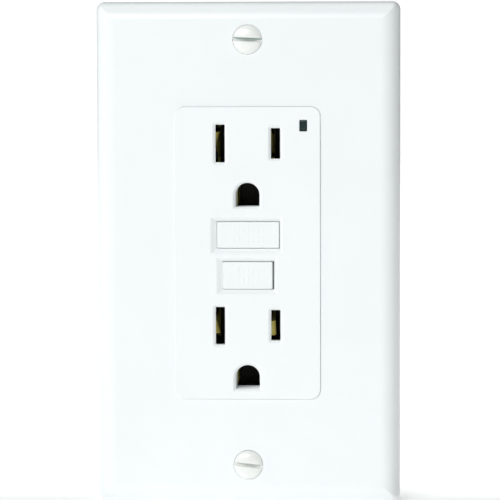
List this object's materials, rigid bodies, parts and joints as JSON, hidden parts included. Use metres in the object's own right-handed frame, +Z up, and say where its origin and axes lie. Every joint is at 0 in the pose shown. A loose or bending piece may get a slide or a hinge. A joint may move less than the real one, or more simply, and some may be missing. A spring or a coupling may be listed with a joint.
{
  "type": "gfci outlet",
  "caption": "Ground-fault receptacle with two outlets, reset and test buttons, steel strap, side terminals and a white wall plate.",
  "frame": {"origin": "centre of the wall surface behind the plate, midway between the two plate screws", "axes": "+X to the right seen from the room, +Y into the wall, +Z up"},
  "size_m": [0.0698, 0.0397, 0.1142],
  "materials": {
    "plate_nylon": "smooth satin white",
    "face_nylon": "smooth satin white",
    "button_nylon": "smooth satin white",
    "screw_paint": "white enamel",
    "smoked_lens": "dark translucent gloss",
    "zinc_steel": "zinc plated",
    "brass": "stamped brass",
    "green_steel": "green dyed plating",
    "housing_plastic": "moulded, fine texture",
    "tray_plastic": "moulded, fine texture",
    "fibre": "pressed fibre",
    "board": "solder mask",
    "copper": "enamelled copper windings",
    "epoxy": "dipped epoxy",
    "chip_black": "moulded epoxy",
    "resistor_tan": "coated ceramic",
    "led_clear": "tinted clear"
  },
  "bodies": {
    "housing": {"wall_plate": "plate_nylon", "face_cover": "face_nylon", "indicator_lens": "smoked_lens", "mounting_strap": "zinc_steel", "screw_retainer_top": "fibre", "screw_retainer_bottom": "fibre", "middle_housing": "tray_plastic", "rear_housing": "housing_plastic", "housing_screw_1": "zinc_steel", "housing_screw_2": "zinc_steel", "housing_screw_3": "zinc_steel", "housing_screw_4": "zinc_steel", "neutral_bus": "brass", "hot_bus": "brass", "ground_contact_upper": "brass", "ground_contact_lower": "brass", "ground_rivet_upper": "zinc_steel", "ground_rivet_lower": "zinc_steel", "line_hot_terminal": "brass", "line_neutral_terminal": "zinc_steel", "load_hot_terminal": "brass", "load_neutral_terminal": "zinc_steel", "circuit_board": "board", "sensing_transformer": "copper", "neutral_transformer": "copper", "transformer_boot": "tray_plastic", "solenoid_bobbin": "tray_plastic", "solenoid_coil": "copper", "plunger_spring": "zinc_steel", "reset_spring": "zinc_steel", "test_resistor": "resistor_tan", "varistor": "epoxy", "capacitor": "epoxy", "controller_chip": "chip_black", "thyristor": "chip_black", "status_led": "led_clear"},
    "reset": {"reset_button": "button_nylon", "reset_pin": "zinc_steel"},
    "test": {"test_button": "button_nylon"},
    "lifter": {"contact_lifter": "tray_plastic"},
    "latch": {"latch_plate": "zinc_steel"},
    "trip_plunger": {"plunger": "zinc_steel"},
    "hot_arm": {"hot_contact_arm": "brass"},
    "neutral_arm": {"neutral_contact_arm": "brass"},
    "test_leaf": {"test_contact_leaf": "brass"},
    "line_hot_screw": {"line_hot_screw": "brass"},
    "line_hot_clamp": {"line_hot_clamp": "zinc_steel"},
    "line_neutral_screw": {"line_neutral_screw": "zinc_steel"},
    "line_neutral_clamp": {"line_neutral_clamp": "zinc_steel"},
    "load_hot_screw": {"load_hot_screw": "brass"},
    "load_hot_clamp": {"load_hot_clamp": "zinc_steel"},
    "load_neutral_screw": {"load_neutral_screw": "zinc_steel"},
    "load_neutral_clamp": {"load_neutral_clamp": "zinc_steel"},
    "ground_screw": {"ground_screw": "green_steel"},
    "ground_clamp": {"ground_clamp": "zinc_steel"},
    "plate_screw_top": {"plate_screw_top": "screw_paint"},
    "plate_screw_bottom": {"plate_screw_bottom": "screw_paint"},
    "mounting_screw_top": {"mounting_screw_top": "zinc_steel"},
    "mounting_screw_bottom": {"mounting_screw_bottom": "zinc_steel"}
  },
  "joints": [
    {"name": "reset_press", "type": "slide", "parent": "housing", "child": "reset", "axis": [0, 1, 0], "range_m": [0, 0.002], "stiffness_N_per_m": 600, "springref_m": -0.0015, "deforming": ["reset_spring"]},
    {"name": "test_press", "type": "slide", "parent": "housing", "child": "test", "axis": [0, 1, 0], "range_m": [0, 0.0015], "stiffness_N_per_m": 600, "springref_m": -0.001},
    {"name": "lifter_slide", "type": "slide", "parent": "housing", "child": "lifter", "axis": [0, 1, 0], "range_m": [0, 0.002]},
    {"name": "hot_arm_swing", "type": "hinge", "parent": "housing", "child": "hot_arm", "pos_m": [0.0082, 0.0187, 0.0114], "axis": [1, 0, 0], "range_deg": [0, 16]},
    {"name": "neutral_arm_swing", "type": "hinge", "parent": "housing", "child": "neutral_arm", "pos_m": [-0.0082, 0.0187, 0.0114], "axis": [1, 0, 0], "range_deg": [0, 16]},
    {"name": "plunger_slide", "type": "slide", "parent": "housing", "child": "trip_plunger", "axis": [0, 0, 1], "range_m": [0, 0.0025], "stiffness_N_per_m": 150, "springref_m": -0.001, "deforming": ["plunger_spring"]},
    {"name": "latch_slide", "type": "slide", "parent": "lifter", "child": "latch", "axis": [0, 0, 1], "range_m": [0, 0.0025]},
    {"name": "leaf_swing", "type": "hinge", "parent": "housing", "child": "test_leaf", "pos_m": [0, 0.0058, -0.0109], "axis": [-1, 0, 0], "range_deg": [0, 14.6]},
    {"name": "line_hot_screw_turn", "type": "hinge", "parent": "housing", "child": "line_hot_screw", "pos_m": [0.021, 0.0095, 0.0155], "axis": [-1, 0, 0], "range_deg": [0, 1171]},
    {"name": "line_hot_clamp_slide", "type": "slide", "parent": "housing", "child": "line_hot_clamp", "axis": [1, 0, 0], "range_m": [0, 0.00258]},
    {"name": "line_neutral_screw_turn", "type": "hinge", "parent": "housing", "child": "line_neutral_screw", "pos_m": [-0.021, 0.0095, 0.0155], "axis": [1, 0, 0], "range_deg": [0, 1171]},
    {"name": "line_neutral_clamp_slide", "type": "slide", "parent": "housing", "child": "line_neutral_clamp", "axis": [-1, 0, 0], "range_m": [0, 0.00258]},
    {"name": "load_hot_screw_turn", "type": "hinge", "parent": "housing", "child": "load_hot_screw", "pos_m": [0.021, 0.0095, -0.0155], "axis": [-1, 0, 0], "range_deg": [0, 1171]},
    {"name": "load_hot_clamp_slide", "type": "slide", "parent": "housing", "child": "load_hot_clamp", "axis": [1, 0, 0], "range_m": [0, 0.00258]},
    {"name": "load_neutral_screw_turn", "type": "hinge", "parent": "housing", "child": "load_neutral_screw", "pos_m": [-0.021, 0.0095, -0.0155], "axis": [1, 0, 0], "range_deg": [0, 1171]},
    {"name": "load_neutral_clamp_slide", "type": "slide", "parent": "housing", "child": "load_neutral_clamp", "axis": [-1, 0, 0], "range_m": [0, 0.00258]},
    {"name": "ground_screw_turn", "type": "hinge", "parent": "housing", "child": "ground_screw", "pos_m": [-0.0158, 0.0065, -0.0415], "axis": [1, 0, 0], "range_deg": [0, 810]},
    {"name": "ground_clamp_slide", "type": "slide", "parent": "housing", "child": "ground_clamp", "axis": [-1, 0, 0], "range_m": [0, 0.00178]},
    {"name": "plate_screw_top_turn", "type": "hinge", "parent": "housing", "child": "plate_screw_top", "pos_m": [0, -0.0058, 0.04842], "axis": [0, -1, 0], "range_deg": [0, 3630]},
    {"name": "plate_screw_bottom_turn", "type": "hinge", "parent": "housing", "child": "plate_screw_bottom", "pos_m": [0, -0.0058, -0.04842], "axis": [0, -1, 0], "range_deg": [0, 3630]},
    {"name": "mounting_screw_top_turn", "type": "hinge", "parent": "housing", "child": "mounting_screw_top", "pos_m": [0, -0.0015, 0.04165], "axis": [0, -1, 0], "range_deg": [0, 6570]},
    {"name": "mounting_screw_bottom_turn", "type": "hinge", "parent": "housing", "child": "mounting_screw_bottom", "pos_m": [0, -0.0015, -0.04165], "axis": [0, -1, 0], "range_deg": [0, 6570]}
  ],
  "couplings": [
    {"joint": "lifter_slide", "follows": "reset_press", "ratio": 1},
    {"joint": "hot_arm_swing", "follows": "reset_press", "rad_per_m": 138.89},
    {"joint": "neutral_arm_swing", "follows": "reset_press", "rad_per_m": 138.89},
    {"joint": "latch_slide", "follows": "plunger_slide", "ratio": 1},
    {"joint": "leaf_swing", "follows": "test_press", "rad_per_m": 168.63},
    {"joint": "line_hot_screw_turn", "follows": "line_hot_clamp_slide", "rad_per_m": 7915.8},
    {"joint": "line_neutral_screw_turn", "follows": "line_neutral_clamp_slide", "rad_per_m": 7915.8},
    {"joint": "load_hot_screw_turn", "follows": "load_hot_clamp_slide", "rad_per_m": 7915.8},
    {"joint": "load_neutral_screw_turn", "follows": "load_neutral_clamp_slide", "rad_per_m": 7915.8},
    {"joint": "ground_screw_turn", "follows": "ground_clamp_slide", "rad_per_m": 7915.8}
  ]
}
